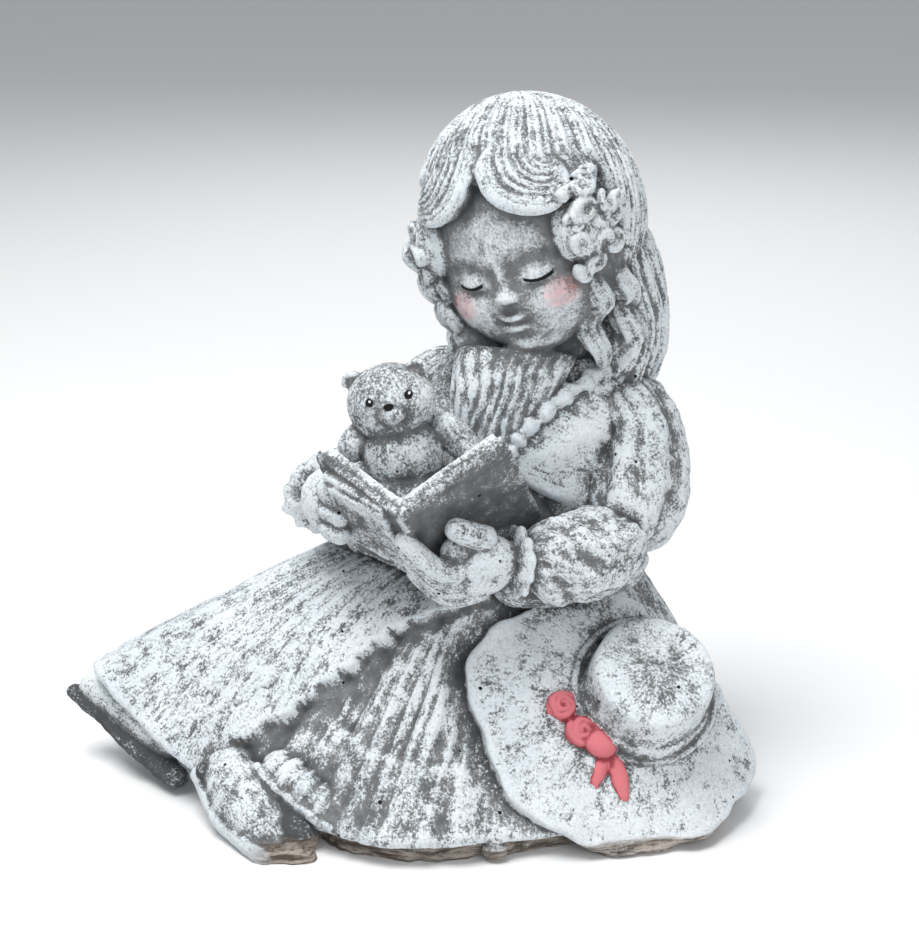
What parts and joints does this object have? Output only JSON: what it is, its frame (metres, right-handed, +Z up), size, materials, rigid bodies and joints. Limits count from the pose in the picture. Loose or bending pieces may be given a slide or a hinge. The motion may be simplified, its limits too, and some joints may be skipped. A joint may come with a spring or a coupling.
{
  "type": "cast stone garden statue of a girl reading with a toy bear",
  "caption": "Garden statue of whitewashed cast stone: a seated girl in a pleated dress reads an open book with a toy bear in it, a wide hat lying on her skirt.",
  "frame": {"origin": "centre of the bounding box at the flat underside", "axes": "+X towards the side the hat lies on (the viewer's right), +Y towards the back, +Z up; the picture looks along +Y"},
  "size_m": [0.3374, 0.2152, 0.3307],
  "materials": {
    "whitewashed_stone": "grey cast concrete with a white dry-brushed wash, pink painted roses"
  },
  "bodies": {
    "root": {"girl_reading_statue": "whitewashed_stone"}
  },
  "joints": []
}
